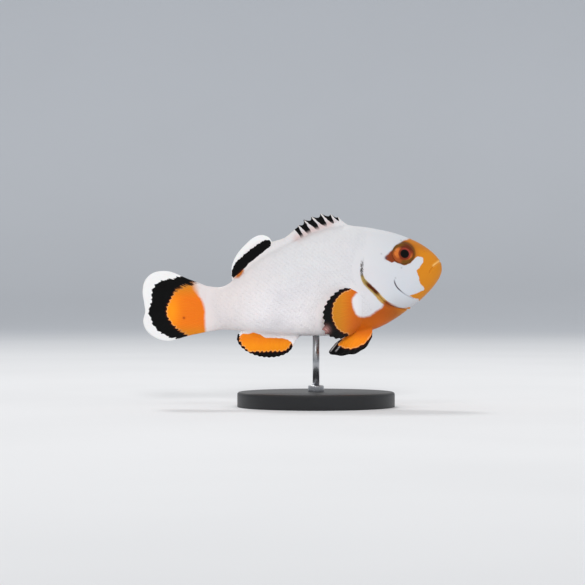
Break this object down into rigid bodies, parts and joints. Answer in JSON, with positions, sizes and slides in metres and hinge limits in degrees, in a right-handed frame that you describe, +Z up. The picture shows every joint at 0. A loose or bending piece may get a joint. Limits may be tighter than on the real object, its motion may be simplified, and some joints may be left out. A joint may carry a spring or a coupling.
{
  "type": "clownfish",
  "caption": "Life-size still model of a white and orange clownfish, swimming nose-up, held by a short rod over a round flat display stand.",
  "frame": {"origin": "centre of the display stand's flat underside, on the surface it stands on", "axes": "+X towards the fish's snout, +Y to the fish's left, +Z up"},
  "size_m": [0.0799, 0.042, 0.0517],
  "materials": {
    "skin_white": "wet white skin with fine flat scales",
    "skin_orange": "wet orange skin and fin web",
    "fin_black": "black fin web with a white margin",
    "iris": "wet orange-brown iris under a clear cornea",
    "pupil": "glossy black",
    "stand_black": "satin black powder coat",
    "stand_steel": "fine brushed"
  },
  "bodies": {
    "root": {"head": "skin_white", "lower_jaw": "skin_orange", "gill_cover_right": "skin_white", "gill_cover_left": "skin_white", "eye_right": "iris", "eye_left": "iris", "pupil_right": "pupil", "pupil_left": "pupil", "trunk": "skin_white", "tail_stalk": "skin_white", "tail_fin": "skin_orange", "dorsal_fin_spiny": "skin_white", "dorsal_fin_soft": "fin_black", "anal_fin": "skin_orange", "pectoral_fin_right": "skin_orange", "pectoral_fin_left": "skin_orange", "pelvic_fin_right": "skin_orange", "pelvic_fin_left": "skin_orange", "stand_base": "stand_black", "stand_collar": "stand_steel", "stand_rod": "stand_steel"}
  },
  "joints": []
}
